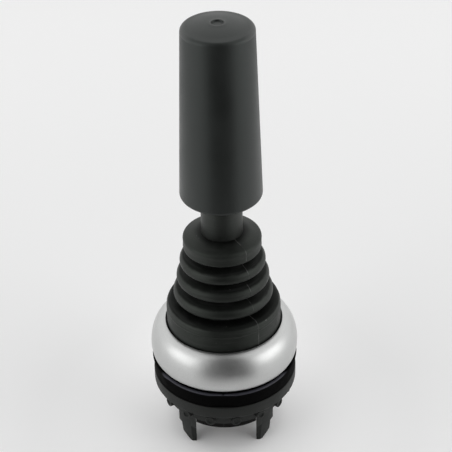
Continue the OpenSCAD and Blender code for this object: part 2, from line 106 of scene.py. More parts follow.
class Finish:
    # the node tree of a material or of the world
    def __init__(self, owner):
        owner.use_nodes = True
        self.owner = owner
        self.tree = owner.node_tree
        self.tree.nodes.clear()

    def add(self, kind, settings=None, sockets=None, out=0):
        node = self.tree.nodes.new("ShaderNode" + kind)
        for key, value in (settings or {}).items():
            setattr(node, key, value)
        for key, value in (sockets or {}).items():
            if isinstance(value, Value):
                self.tree.links.new(value.socket, node.inputs[key])
            else:
                node.inputs[key].default_value = value
        return Value(self, node.outputs[out]) if len(node.outputs) else None

    def place(self):
        return self.add("TexCoord", out="Object")

    def split(self, vector):
        first = self.add("SeparateXYZ", {}, {0: vector})
        return [Value(self, socket) for socket in first.socket.node.outputs]

    def ramp(self, value, low, high, toLow=0.0, toHigh=1.0):
        sockets = {"Value": value, "From Min": low, "From Max": high, "To Min": toLow, "To Max": toHigh}
        return self.add("MapRange", {"interpolation_type": "SMOOTHSTEP"}, sockets)

    def mix(self, factor, first, second):
        return self.add("Mix", {"data_type": "RGBA"}, {0: factor, 6: first, 7: second}, out=2)

    def stretch(self, vector, scale):
        return self.add("Mapping", {}, {"Vector": vector, "Scale": scale})

    def noise(self, vector, size, detail=2.0, roughness=0.5):
        sockets = {"Vector": vector, "Scale": 1 / (size * mm), "Detail": detail, "Roughness": roughness}
        return self.add("TexNoise", {}, sockets)

    def rings(self, vector, spread, size):
        # noise drawn out around the axis
        return self.noise(self.stretch(vector, (spread, spread, 1)), size, 3.0)

    def reach(self, x, y, least=0.0):
        # the distance from the z axis, kept above zero where it divides
        return self.add("Math", {"operation": "SQRT"}, {0: x * x + y * y + least})

    def bump(self, height, depth):
        return self.add("Bump", {}, {"Height": height, "Distance": depth * mm, "Strength": 1.0})

    def surface(self, sockets, dull=None, paintedShadeSheen=0.0):
        shader = self.add("BsdfPrincipled", {}, sockets)
        # where a shade mask is given, a less reflective copy of the shader is mixed in there: painted shade
        if dull:
            matt = self.add("BsdfPrincipled", {}, {**sockets, "Specular IOR Level": paintedShadeSheen})
            shader = self.add("MixShader", {}, {0: dull, 1: shader, 2: matt})
        self.add("OutputMaterial", {}, {"Surface": shader})
        return self.owner


def grey(value, warm=0.0, green=0.0):
    return (value * (1 + warm - green), value, value * (1 - warm - green), 1.0)


def newFinish(name):
    return Finish(bpy.data.materials.new(name))


# the middle part of a noise's range, for colour and for gloss
noiseSpan = (0.3, 0.7)
glossSpan = (0.35, 0.65)


# moulded plastic and rubber: mottled colour, uneven gloss, a fine spark-eroded grain
def moulded(name, look, extra=None):
    finish = newFinish(name)
    place = finish.place()
    cloud = finish.noise(place, look["cloud"], 3.0)
    grain = finish.noise(place, look["grain"], 2.0, 0.6)
    colour = finish.mix(finish.ramp(cloud, *noiseSpan), look["dark"], look["light"])
    rough = finish.ramp(cloud * 0.5 + grain * 0.5, *glossSpan, *look["gloss"])
    height = grain
    more = {}
    if extra:
        colour, rough, height, *rest = extra(finish, place, colour, rough, height)
        more = rest[0] if rest else more
    return finish.surface({
        "Base Color": colour,
        "Roughness": rough,
        "Specular IOR Level": look.get("sheen", 0.5),
        "Specular Tint": look.get("tint", grey(1)),
        "Coat Weight": more.get("coat", 0.0),
        "Coat Roughness": 0.25,
        "Normal": finish.bump(height, look["depth"]),
    }, more.get("dull"), look.get("paintedShadeSheen", 0.0))


# points closer than this are one, and an edge shorter than this is none, in metres
weld, sliver = 1e-6, 1e-7
fineSteps = 224


def lathe(outline, steps=192, segments=5):
    # outline in millimetres: radius, height and, at a rounded corner, the rounding
    bm = bmesh.new()
    rounding = bm.verts.layers.float.new("rounding")
    corners = []
    for radius, height, *size in outline:
        corner = bm.verts.new((radius * mm, 0, height * mm))
        corner[rounding] = size[0] if size else 0
        corners.append(corner)
    onAxis = outline[0][0] == 0 and outline[-1][0] == 0
    for first, second in zip(corners, corners[1:] + ([] if onAxis else corners[:1])):
        bm.edges.new((first, second))
    for size in sorted({point[2] for point in outline if len(point) > 2}):
        picked = [v for v in bm.verts if abs(v[rounding] - size) < 1e-5]
        bmesh.ops.bevel(bm, geom=picked, offset=size * mm, offset_type="OFFSET", affect="VERTICES",
                        segments=segments, profile=0.5, material=-1)
    bm.verts.layers.float.remove(rounding)
    bmesh.ops.spin(bm, geom=bm.verts[:] + bm.edges[:], cent=(0, 0, 0), axis=(0, 0, 1),
                   angle=2 * math.pi, steps=steps, use_merge=True)
    return closed(bm)


def closed(bm):
    bmesh.ops.remove_doubles(bm, verts=bm.verts, dist=weld)
    bmesh.ops.dissolve_degenerate(bm, edges=bm.edges, dist=sliver)
    bmesh.ops.recalc_face_normals(bm, faces=bm.faces)
    return bm


def soften(bm, width, angle=40, segments=2):
    sharp = [e for e in bm.edges if e.is_manifold and e.calc_face_angle() > math.radians(angle)]
    bmesh.ops.bevel(bm, geom=sharp, offset=width * mm, offset_type="OFFSET", affect="EDGES",
                    segments=segments, profile=0.5, material=-1, clamp_overlap=True)
    bmesh.ops.recalc_face_normals(bm, faces=bm.faces)


def bow(outer, end, start, stop, steps):
    # points on a quarter ellipse from the outermost point to a topmost or lowest one
    turns = [math.radians(start + (stop - start) * i / steps) for i in range(steps + 1)]
    wide, high = outer[0] - end[0], end[1] - outer[1]
    return [(end[0] + wide * math.cos(a), outer[1] + high * math.sin(a)) for a in turns]


def shown(name, bm, material, sharp=35):
    mesh = bpy.data.meshes.new(name)
    bm.to_mesh(mesh)
    bm.free()
    mesh.shade_smooth()
    mesh.set_sharp_from_angle(angle=math.radians(sharp))
    mesh.materials.append(material)
    made = bpy.data.objects.new(name, mesh)
    bpy.context.scene.collection.objects.link(made)
    return made


def combined(bm, other, operation):
    # two closed shapes made into one
    target, tool = (shown(name, shape, None) for name, shape in (("target", bm), ("tool", other)))
    change = target.modifiers.new("change", "BOOLEAN")
    change.object = tool
    change.operation = operation
    change.solver = "EXACT"
    result = bmesh.new()
    result.from_object(target, bpy.context.evaluated_depsgraph_get())
    for made in (target, tool):
        mesh = made.data
        bpy.data.objects.remove(made)
        bpy.data.meshes.remove(mesh)
    return closed(result)


def joined(first, second):
    mesh = bpy.data.meshes.new("joining")
    second.to_mesh(mesh)
    second.free()
    first.from_mesh(mesh)
    bpy.data.meshes.remove(mesh)
    return first


def settle(made, body, slot, *stands):
    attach(made, body)
    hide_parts(*stands)
    return made


view = {"place": (0, -237.3, 211.2), "pitch": 34.48, "yaw": -0.192, "roll": -1.17,
        "lens": 118.46, "sensor": 36, "clip": 0.01}

cameraData = bpy.data.cameras.new("camera")
cameraData.lens = view["lens"]
cameraData.sensor_width = view["sensor"]
cameraData.clip_start = view["clip"]
camera = bpy.data.objects.new("camera", cameraData)
bpy.context.scene.collection.objects.link(camera)
camera.matrix_world = (
    Matrix.Translation(Vector(view["place"]) * mm)
    @ Matrix.Rotation(math.radians(view["yaw"]), 4, "Z")
    @ Matrix.Rotation(math.radians(90 - view["pitch"]), 4, "X")
    @ Matrix.Rotation(math.radians(view["roll"]), 4, "Z")
)
bpy.context.scene.camera = camera
bpy.context.scene.view_settings.view_transform = "Standard"
print("camera placed")


gripLook = {"dark": grey(0.009, -0.03, 0.07), "light": grey(0.0125, -0.03, 0.07), "tint": grey(1, -0.02, 0.06),
            "gloss": (0.38, 0.48), "cloud": 7, "grain": 0.16, "depth": 0.006,
            "rimLow": 55.95, "rimTop": 56.1, "rimFrom": 0.5, "rimHalf": 1.4, "rimFront": -7, "rimHighlightTone": grey(0.12),
            "gateRing": 1.37, "gateNear": 0.1, "gateFar": 0.25, "gateHighlightShare": 0.5,
            "edgeFrom": 5.6, "edgeTo": 6.6, "sideFrom": 4.2, "sideTo": 6.2, "topFrom": 90.3, "topHighlightTone": grey(0.045)}


def paintedGripHighlights(finish, place, colour, rough, height):
    # painted highlights: the lower edge is painted pale at the front, the gate mark's rim and the left and right of the
    # top edge less so
    look = gripLook
    x, y, z = finish.split(place)
    across = abs(x) / mm
    reach = finish.reach(x, y) / mm
    # painted highlight on the gate mark's rim and on the left and right of the top edge
    gate = finish.ramp(abs(reach - look["gateRing"]), look["gateNear"], look["gateFar"], 1, 0)
    edge = finish.ramp(reach, look["edgeFrom"], look["edgeTo"])
    edge = edge * finish.ramp(across, look["sideFrom"], look["sideTo"])
    top = (gate * look["gateHighlightShare"] + edge) * (z > look["topFrom"] * mm)
    # painted highlight along the lower edge at the front
    low = finish.ramp(z / mm, look["rimLow"], look["rimTop"], 1, 0)
    low = low * finish.ramp(across, look["rimFrom"], look["rimHalf"], 1, 0) * (y < look["rimFront"] * mm)
    colour = finish.mix(top, colour, look["topHighlightTone"])
    return finish.mix(low, colour, look["rimHighlightTone"]), rough, height


gripPlastic = moulded("gripPlastic", gripLook, paintedGripHighlights)

shaftLook = {"dark": grey(0.009, 0, 0.08), "light": grey(0.014, 0, 0.08), "tint": grey(1, 0, 0.08), "sheen": 0.46,
             "gloss": (0.42, 0.54), "cloud": 4, "grain": 0.14, "depth": 0.006,
             "ringSpread": 0.02, "ringSize": 0.18, "ringFrom": 0.45, "ringTo": 0.75, "ringShare": 0.5,
             "ringTone": grey(0.022), "grainHeight": 0.6, "ringHeight": 0.7}


def turnedLines(finish, place, colour, rough, height):
    # faint rings left by turning
    look = shaftLook
    rings = finish.rings(place, look["ringSpread"], look["ringSize"])
    share = finish.ramp(rings, look["ringFrom"], look["ringTo"], 0, look["ringShare"])
    height = height * look["grainHeight"] + rings * look["ringHeight"]
    return finish.mix(share, colour, look["ringTone"]), rough, height


shaftPlastic = moulded("shaftPlastic", shaftLook, turnedLines)

rubberLook = {"dark": grey(0.003, 0, 0.1), "light": grey(0.006, 0, 0.1), "tint": grey(1, 0, 0.1), "sheen": 0.4,
              "gloss": (0.44, 0.56), "cloud": 3, "grain": 0.2, "depth": 0.012, "paintedShadeSheen": 0.09,
              "seamTurn": 36, "seamFrom": 0.02, "seamWidth": 0.1, "seamAhead": 2, "seamLow": 31.6,
              "seamShare": 0.6, "seamMore": 0.3, "seamTone": grey(0.1), "brokenSize": 1.7, "broken": (0.4, 0.6),
              "wanderSize": 1.1, "seamWander": 0.16, "levelWander": 0.15,
              "speckSize": 1.7, "speckReach": 0.038, "speckShare": 0.5, "speckTone": grey(0.25),
              "ringSpread": 0.05, "ringSize": 0.3, "ringFrom": 0.48, "ringTo": 0.7, "ringShare": 0.6,
              "ringTone": grey(0.016), "grainHeight": 0.7, "ringHeight": 0.5, "seamHeight": 1.6,
              "dustAndHighlight": [(-18, 7.7, 46.4), (5, 9.9, 34.1), (47.5, 11.3, 30.9)],
              "dustSize": 0.16, "dustShare": 0.85, "dustTone": grey(0.3),
              "levelFrom": 0.6, "levelTo": 0.84, "skirtTop": 32, "skirtMore": 0.18,
              "foldsTop": 45, "shaftShadeIn": 4.2, "shaftShadeOut": 5.9}


def rubberMarks(finish, place, colour, rough, height):
    look = rubberLook
    x, y, z = finish.split(place)
    turn = math.radians(look["seamTurn"])
    across = abs(x * math.cos(turn) + y * math.sin(turn)) / mm
    ahead = (x * math.sin(turn) - y * math.cos(turn)) / mm
    wander = finish.noise(place, look["wanderSize"], 2.0) - 0.5
    seam = finish.ramp(across + wander * look["seamWander"], look["seamFrom"], look["seamWidth"], 1, 0)
    seam = seam * (ahead > look["seamAhead"])
    broken = finish.ramp(finish.noise(place, look["brokenSize"], 1.0), *look["broken"])
    broken = broken * look["seamShare"] + (z < look["seamLow"] * mm) * look["seamMore"]
    cells = {"Vector": place, "Scale": 1 / (look["speckSize"] * mm), "Randomness": 1.0}
    speck = finish.add("TexVoronoi", {"feature": "F1"}, cells) < look["speckReach"]
    rings = finish.rings(place, look["ringSpread"], look["ringSize"])
    share = finish.ramp(rings, look["ringFrom"], look["ringTo"], 0, look["ringShare"])
    colour = finish.mix(share, colour, look["ringTone"])
    colour = finish.mix(seam * broken, colour, look["seamTone"])
    colour = finish.mix(speck * look["speckShare"], colour, look["speckTone"])
    for side, radius, level in look["dustAndHighlight"]:
        angle = math.radians(side)
        spot = (radius * mm * math.sin(angle), -radius * mm * math.cos(angle), level * mm)
        gap = finish.add("VectorMath", {"operation": "DISTANCE"}, {0: place, 1: spot}, out="Value")
        colour = finish.mix((gap < look["dustSize"] * mm) * look["dustShare"], colour, look["dustTone"])
    # painted shade: faces that look up, in the folds and around the shaft, get a less reflective shader, as where shade
    # falls
    facing = finish.split(finish.add("TexCoord", out="Normal"))[2]
    facing = facing + wander * look["levelWander"] + (z < look["skirtTop"] * mm) * look["skirtMore"]
    flat = finish.ramp(facing, look["levelFrom"], look["levelTo"])
    nearShaft = finish.ramp(finish.reach(x, y) / mm, look["shaftShadeIn"], look["shaftShadeOut"], 1, 0)
    dull = flat * ((z < look["foldsTop"] * mm) + (z > look["foldsTop"] * mm) * nearShaft)
    height = height * look["grainHeight"] + rings * look["ringHeight"] + seam * look["seamHeight"]
    return colour, rough, height, {"dull": dull}


bootRubber = moulded("bootRubber", rubberLook, rubberMarks)

bezelLook = {"dark": grey(0.51, 0, 0.01), "light": grey(0.59, 0, 0.01), "gloss": (0.32, 0.4),
             "cloud": 5, "grain": 0.12, "depth": 0.006}


def satinMetal(name, look):
    finish = newFinish(name)
    place = finish.place()
    grain = finish.noise(place, look["grain"], 2.0, 0.7)
    cloud = finish.noise(place, look["cloud"], 2.0)
    return finish.surface({
        "Base Color": finish.mix(finish.ramp(grain, *noiseSpan), look["dark"], look["light"]),
        "Metallic": 1.0,
        "Roughness": finish.ramp(grain * 0.6 + cloud * 0.4, *glossSpan, *look["gloss"]),
        "Normal": finish.bump(grain, look["depth"]),
    })


bezelMetal = satinMetal("bezelMetal", bezelLook)

housingLook = {"dark": grey(0.002, 0.1), "light": grey(0.004, 0.1), "gloss": (0.36, 0.48), "sheen": 0.07,
               "cloud": 5, "grain": 0.2, "depth": 0.003,
               "lineTurn": -2.6, "lineFrom": 0.03, "lineWidth": 0.09, "lineShare": 0.6, "lineTone": grey(0.04)}


def partingLine(finish, place, colour, rough, height):
    # a fine mould line on the front of the neck
    look = housingLook
    x, y = finish.split(place)[:2]
    turn = math.radians(look["lineTurn"])
    across = abs(x * math.cos(turn) + y * math.sin(turn)) / mm
    line = finish.ramp(across, look["lineFrom"], look["lineWidth"], 1, 0) * (y < 0)
    return finish.mix(line * look["lineShare"], colour, look["lineTone"]), rough, height + line


housingPlastic = moulded("housingPlastic", housingLook, partingLine)

gasketLook = {"dark": grey(0.001), "light": grey(0.0016), "gloss": (0.62, 0.78), "sheen": 0.03,
              "cloud": 2.5, "grain": 0.25, "depth": 0.008,
              "highlightTone": (0.05, 0.05, 0.062, 1), "bloomCoat": 0.3, "bloomFrom": 13.75, "bloomTo": 14.05,
              "bloomLow": 17.15, "bloomHigh": 17.35, "bloomFront": -8.6, "bloomSide": -7}


def paintedSealHighlight(finish, place, colour, rough, height):
    # painted highlight: the rubber's upper edge is painted pale and given a coat at the front
    look = gasketLook
    x, y, z = finish.split(place)
    dustAndHighlight = finish.ramp(finish.reach(x, y) / mm, look["bloomFrom"], look["bloomTo"])
    dustAndHighlight = dustAndHighlight * finish.ramp(z / mm, look["bloomLow"], look["bloomHigh"])
    dustAndHighlight = dustAndHighlight * finish.ramp(y / mm, look["bloomFront"], look["bloomSide"], 1, 0)
    return finish.mix(dustAndHighlight, colour, look["highlightTone"]), rough, height, {"coat": dustAndHighlight * look["bloomCoat"]}


gasketRubber = moulded("gasketRubber", gasketLook, paintedSealHighlight)

greyLook = {"dark": grey(0.007, 0, 0.05), "light": grey(0.0105, 0, 0.05), "tint": grey(1, 0, 0.05), "sheen": 0.3,
            "gloss": (0.46, 0.6), "cloud": 3, "grain": 0.17, "depth": 0.01}
greyPlastic = moulded("greyPlastic", greyLook)

innerLook = {"dark": grey(0.06), "light": grey(0.08), "gloss": (0.5, 0.62),
             "cloud": 4, "grain": 0.2, "depth": 0.008}
innerPlastic = moulded("innerPlastic", innerLook)

paleLook = {"dark": grey(0.52, 0.06), "light": grey(0.62, 0.06), "gloss": (0.36, 0.5),
            "cloud": 2, "grain": 0.2, "depth": 0.006}
palePlastic = moulded("palePlastic", paleLook)

gimbalLook = {"dark": grey(0.36, 0.04), "light": grey(0.5, 0.04), "gloss": (0.38, 0.55),
              "cloud": 5, "grain": 0.25, "depth": 0.012}
gimbalMetal = satinMetal("gimbalMetal", gimbalLook)

steelLook = {"dark": grey(0.5), "light": grey(0.62), "gloss": (0.2, 0.32), "cloud": 5, "grain": 0.1, "depth": 0.004}
pinSteel = satinMetal("pinSteel", steelLook)

wireLook = {"dark": grey(0.42), "light": grey(0.55), "gloss": (0.25, 0.4), "cloud": 5, "grain": 0.08, "depth": 0.004}
springSteel = satinMetal("springSteel", wireLook)
print("finishes made")


grip = {"low": 55.8, "top": 91.1, "lowRadius": 8.0, "topRadius": 6.8, "edge": 0.7, "dome": 0.87,
        "domeAt": (2.4, 3.6, 4.8, 5.6), "gateRadius": 1.15, "gateRim": 1.6, "gateDepth": 0.3, "gateSlope": 0.1,
        "gateFoot": 0.08, "rimHeight": 0.05, "rimIn": 0.03, "rimOut": 0.06,
        "socketRadius": 4.1, "socketDepth": 16, "socketLead": 0.3}


def gripTop(radius):
    reach = grip["topRadius"] - grip["edge"]
    return grip["top"] + grip["dome"] * (1 - (radius / reach) ** 2)


gateFloor = gripTop(0) - grip["gateDepth"]
rimTop = gripTop(grip["gateRim"]) + grip["rimHeight"]
rimMid = (grip["gateRadius"] + grip["gateRim"]) / 2
socket, socketTop = grip["socketRadius"], grip["low"] + grip["socketDepth"]
gripOutline = [(0, gateFloor), (grip["gateRadius"] - grip["gateSlope"], gateFloor, grip["gateFoot"])]
gripOutline += [(grip["gateRadius"], rimTop, grip["rimIn"]), (rimMid, rimTop, grip["rimOut"])]
gripOutline += [(r, gripTop(r)) for r in (grip["gateRim"], *grip["domeAt"])]
gripOutline += [(grip["topRadius"], grip["top"], grip["edge"]), (grip["lowRadius"], grip["low"], grip["edge"])]
gripOutline += [(socket + grip["socketLead"], grip["low"]), (socket, grip["low"] + grip["socketLead"])]
gripOutline += [(socket, socketTop), (0, socketTop)]
handle = shown("grip", lathe(gripOutline, steps=fineSteps), gripPlastic)
settle(handle, "lever", "grip_plastic", "handle")

shaft = {"radius": 4.05, "collar": 4.2, "collarLow": 54.4, "collarStep": 0.2, "collarEdge": 0.08,
         "spigot": 2.4, "spigotLow": 17.9, "spigotTop": 21.9, "edge": 0.2, "top": 71.75, "topEdge": 0.4,
         "screwRadius": 1.55, "screwTop": 20.9}

screw = shaft["screwRadius"]
shaftOutline = [(0, shaft["screwTop"]), (screw, shaft["screwTop"]), (screw, shaft["spigotLow"])]
shaftOutline += [(shaft["spigot"], shaft["spigotLow"], shaft["edge"]), (shaft["spigot"], shaft["spigotTop"])]
shaftOutline += [(shaft["radius"], shaft["spigotTop"], shaft["edge"]), (shaft["radius"], shaft["collarLow"])]
shaftOutline += [(shaft["collar"], shaft["collarLow"] + shaft["collarStep"], shaft["collarEdge"])]
shaftOutline += [(shaft["collar"], grip["low"]), (shaft["radius"], grip["low"])]
shaftOutline += [(shaft["radius"], shaft["top"], shaft["topEdge"]), (0, shaft["top"])]
leverShaft = shown("shaft", lathe(shaftOutline, steps=160), shaftPlastic)
settle(leverShaft, "lever", "shaft_plastic", "lever_shaft")
print("grip and shaft made")


boot = {"footIn": 9.6, "footOut": 12.4, "footLow": 22.3, "footTop": 23.3, "wall": 0.8,
        "skirt": 11.45, "shoulder": 31.5, "round": 1.3, "roundStep": 5,
        "line": 0.06, "lines": (29.7, 30.4), "lineStep": 0.1,
        "groove": 29.4, "grooveDepth": 0.05, "grooveHalf": 0.18, "grooveFlat": 0.06,
        "lips": [9.9, 9.18, 8.47, 7.75], "lowLip": 33.4, "pitch": 3.7, "band": 0.75, "bandTop": 1.0,
        "lipEdge": 0.5, "crest": 1.0, "crestInset": 0.9, "fold": 2.4, "foldAt": 2.4, "foldEdge": 0.12,
        "lowFold": 1.95, "lowFoldLead": 0.6, "lowFoldRise": 0.05, "lowFoldEdge": 0.3, "innerEdge": 0.7,
        "rim": 46.4, "rimEdge": 0.55, "rimIn": 0.1, "rimLow": 1.4, "rimLowEdge": 0.4,
        "ring": 5.65, "ringTop": 47.05, "ringEdge": 0.5,
        "top": 47.35, "topLead": 0.5, "topStep": 0.12, "topEdge": 0.2,
        "sleeve": 4.1, "sleeveWall": 0.9, "sleeveLow": 44.1, "bendLow": 26.4, "bendTop": 39.6}

foldZ = (boot["shoulder"] + boot["lowLip"] - boot["band"]) / 2
foldR = boot["lips"][0] - boot["lowFold"]


def bootLip(i, inset=0.0):
    # the bold crest of a lip, its nearly level upper side and the fold under the next lip
    z = boot["lowLip"] + boot["pitch"] * i
    r = boot["lips"][i] - inset
    points = [(r, z - boot["band"] + inset / 2, boot["lipEdge"])]
    if i + 1 < len(boot["lips"]):
        points += [(r, z + boot["bandTop"] - inset / 2, boot["crest"] - boot["crestInset"] * inset)]
        points += [(boot["lips"][i + 1] - boot["fold"] - inset, z + boot["foldAt"], boot["foldEdge"])]
    return points


skirt, wall, shoulder = boot["skirt"], boot["wall"], boot["shoulder"]
skirtIn, grooveIn = skirt - wall, skirt - boot["grooveDepth"]
bendR, bendZ = skirt - boot["round"], shoulder - boot["round"]
skirtOutline = [(boot["footIn"], boot["footLow"]), (boot["footOut"], boot["footLow"])]
skirtOutline += [(boot["footOut"], boot["footTop"]), (skirt, boot["footTop"])]
skirtOutline += [(skirt, boot["groove"] - boot["grooveHalf"]), (grooveIn, boot["groove"] - boot["grooveFlat"])]
skirtOutline += [(grooveIn, boot["groove"] + boot["grooveFlat"]), (skirt, boot["groove"] + boot["grooveHalf"])]
skirtOutline += [(skirt, boot["lines"][0] - boot["lineStep"]), (skirt - boot["line"], boot["lines"][0])]
for turn in range(boot["roundStep"], 90, boot["roundStep"]):
    z = bendZ + boot["round"] * math.sin(math.radians(turn))
    sink = boot["line"] * (2 if z > boot["lines"][1] else 1)
    skirtOutline.append((bendR + (boot["round"] - sink) * math.cos(math.radians(turn)), z))
skirtOutline += [(bendR, shoulder)]
skirtOutline += [(foldR + boot["lowFoldLead"], shoulder + boot["lowFoldRise"], boot["lowFoldEdge"])]
skirtOutline += [(foldR, foldZ), (foldR - wall, foldZ), (foldR - wall, shoulder - wall, boot["lowFoldEdge"])]
skirtOutline += [(skirtIn, shoulder - wall, boot["innerEdge"]), (skirtIn, boot["footTop"])]
skirtOutline += [(boot["footIn"], boot["footTop"])]
bootSkirt = shown("bootSkirt", lathe(skirtOutline, steps=fineSteps), bootRubber)

foldsOutline, inner = [(foldR, foldZ)], [(foldR - wall, foldZ)]
for i in range(len(boot["lips"])):
    foldsOutline += bootLip(i)
    inner += bootLip(i, wall)
rimRadius, sleeve = boot["lips"][-1], boot["sleeve"]
sleeveOut = sleeve + boot["sleeveWall"]
foldsOutline += [(rimRadius - boot["rimIn"], boot["rim"] - boot["rimLow"], boot["rimLowEdge"])]
foldsOutline += [(rimRadius, boot["rim"], boot["rimEdge"]), (boot["ring"], boot["ringTop"], boot["ringEdge"])]
foldsOutline += [(sleeve + boot["topLead"], boot["top"] - boot["topStep"], boot["topEdge"]), (sleeve, boot["top"])]
foldsOutline += [(sleeve, boot["sleeveLow"]), (sleeveOut, boot["sleeveLow"]), (sleeveOut, boot["top"] - wall)]
foldsOutline += [(rimRadius - wall, boot["rim"] - wall)] + inner[::-1]
bootFolds = shown("bootFolds", lathe(foldsOutline, steps=fineSteps), bootRubber)
for made in (bootSkirt, bootFolds):
    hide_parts("bellows")
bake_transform(bootSkirt, "housing", "gimbal", start=(0, 0, boot["bendLow"] * mm), end=(0, 0, foldZ * mm))
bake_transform(bootFolds, "gimbal", "lever", start=(0, 0, foldZ * mm), end=(0, 0, boot["bendTop"] * mm))
print("boot made")


bezel = {"bore": 12.45, "radius": 14.85, "low": 18.4, "lowRadius": 14.15, "belly": 20.8, "top": 26.2,
         "opening": 11.7, "lipLow": 24.9, "edge": 0.12, "lowSteps": 10, "topFrom": 4, "topSteps": 24}

belly = (bezel["radius"], bezel["belly"])
bezelOutline = [(bezel["bore"], bezel["low"])]
bezelOutline += bow(belly, (bezel["lowRadius"], bezel["low"]), 90, 0, bezel["lowSteps"])
rimEnd = (bezel["opening"] + bezel["edge"], bezel["top"])
bezelOutline += bow(belly, rimEnd, bezel["topFrom"], 90, bezel["topSteps"])
bezelOutline += [(bezel["opening"], bezel["top"] - bezel["edge"]), (bezel["opening"], bezel["lipLow"])]
bezelOutline += [(bezel["bore"], bezel["lipLow"])]
bezelRing = shown("bezelRing", lathe(bezelOutline, steps=fineSteps), bezelMetal)
settle(bezelRing, "housing", "bezel_metal", "bezel")

body = {"bore": 9.5, "neck": 10.9, "neckEnd": 5.9, "neckEdge": 0.15,
        "relief": 10.5, "reliefLow": 7.8, "reliefTop": 8.4,
        "threadTop": 14.2, "threadPitch": 0.8, "threadRoot": 10.5, "threadAt": (0.1, 0.35, 0.5, 0.75),
        "flangeLow": 15.5, "flange": 13.35, "flangeTop": 18.4, "collar": 12.4, "top": 22.3,
        "pocket": 10.55, "ledge": 16.3, "slotX": 6.09, "slotY": 5.35, "slotTop": 7.2, "slotPast": 1}

neck = body["neck"]
bodyOutline = [(body["bore"], body["neckEnd"]), (neck, body["neckEnd"], body["neckEdge"])]
bodyOutline += [(neck, body["reliefLow"]), (body["relief"], body["reliefLow"]), (body["relief"], body["reliefTop"])]
ridge = list(zip((body["threadRoot"], neck, neck, body["threadRoot"]), body["threadAt"]))
for i in range(int((body["threadTop"] - body["reliefTop"]) / body["threadPitch"])):
    z = body["reliefTop"] + i * body["threadPitch"]
    bodyOutline += [(r, z + rise) for r, rise in ridge]
bodyOutline += [(neck, body["threadTop"]), (neck, body["flangeLow"]), (body["flange"], body["flangeLow"])]
bodyOutline += [(body["flange"], body["flangeTop"]), (body["collar"], body["flangeTop"])]
bodyOutline += [(body["collar"], body["top"]), (body["pocket"], body["top"])]
bodyOutline += [(body["pocket"], body["ledge"]), (body["bore"], body["ledge"])]

slots = bmesh.new()
slotSize = (neck, neck, body["slotTop"] - body["neckEnd"] + body["slotPast"])
slotMid = (body["slotX"] + neck / 2, body["slotY"] + neck / 2, body["slotTop"] - slotSize[2] / 2)
for sideX in (-1, 1):
    for sideY in (-1, 1):
        spot = Matrix.Translation(Vector((slotMid[0] * sideX, slotMid[1] * sideY, slotMid[2])) * mm)
        bmesh.ops.create_cube(slots, size=mm, matrix=spot @ Matrix.Diagonal((*slotSize, 1)))
neckBody = shown("neckBody", combined(lathe(bodyOutline, steps=fineSteps), slots, "DIFFERENCE"), housingPlastic)
settle(neckBody, "housing", "housing_plastic", "housing")

seal = {"inner": 10.95, "outer": 14.4, "low": 14.3, "base": 15.5, "top": 17.5, "lipIn": 13.4,
        "edge": 0.3, "lowEdge": 0.1, "lipEdge": 0.12, "turn": -2,
        "flatAt": 14.15, "notchHalf": 0.2, "notchDepth": 0.25, "notchSlack": 0.01,
        "recess": (-50, 57), "recessEnd": 9, "raise": 0.5, "raiseFrom": 0.5, "flare": 0.32, "flareFrom": 0.4}

sealOutline = [(seal["inner"], seal["low"]), (seal["outer"], seal["low"], seal["lowEdge"])]
sealOutline += [(seal["outer"], seal["base"]), (seal["outer"], seal["top"], seal["edge"])]
sealOutline += [(seal["lipIn"], seal["top"], seal["lipEdge"]), (seal["lipIn"], seal["base"])]
sealOutline += [(seal["inner"], seal["base"])]
sealShape = lathe(sealOutline, steps=240)
notchFrom = (seal["top"] - seal["edge"] - seal["notchSlack"]) * mm
for v in sealShape.verts:
    if v.co.y < -seal["flatAt"] * mm:
        v.co.y = -seal["flatAt"] * mm
    if v.co.y < 0 and abs(v.co.x) < seal["notchHalf"] * mm and v.co.z > notchFrom:
        v.co.z -= seal["notchDepth"] * mm
sealTurn = Matrix.Rotation(math.radians(seal["turn"]), 3, "Z")
bmesh.ops.rotate(sealShape, verts=sealShape.verts, cent=(0, 0, 0), matrix=sealTurn)
for v in sealShape.verts:
    # beside and behind, the lip stands up to the bezel and flares
    turn = math.degrees(math.atan2(v.co.x, -v.co.y))
    past = min(1, max(0, seal["recess"][0] - turn, turn - seal["recess"][1]) / seal["recessEnd"])
    if v.co.z > (seal["base"] + seal["raiseFrom"]) * mm:
        raised = past * past * (3 - 2 * past)
        v.co.z += raised * seal["raise"] * mm
        if v.co.xy.length > (seal["outer"] - seal["flareFrom"]) * mm:
            v.co.xy = v.co.xy * (1 + raised * seal["flare"] / seal["outer"])
gasket = shown("gasketRing", sealShape, gasketRubber)
settle(gasket, "housing", "gasket_rubber", "gasket")
print("bezel, housing and gasket made")


nut = {"bore": 11.0, "lead": 0.4, "radius": 14.55, "low": 8.4, "step": 11.6, "top": 14.3, "band": 12.5,
       "edge": 0.15, "topEdge": 0.1, "stepEdge": 0.3, "turn": -2.5,
       "nubs": 16, "nubRadius": 1.0, "nubZ": 9.8, "nubIn": 11.75, "nubOut": 13.6, "nubEdge": 0.12,
       "dishRadius": 0.62, "dishDepth": 0.18, "dishEdge": 0.06, "dishSlope": 0.1,
       "webBack": 0.2, "webSlim": 0.04, "webInto": 0.5}

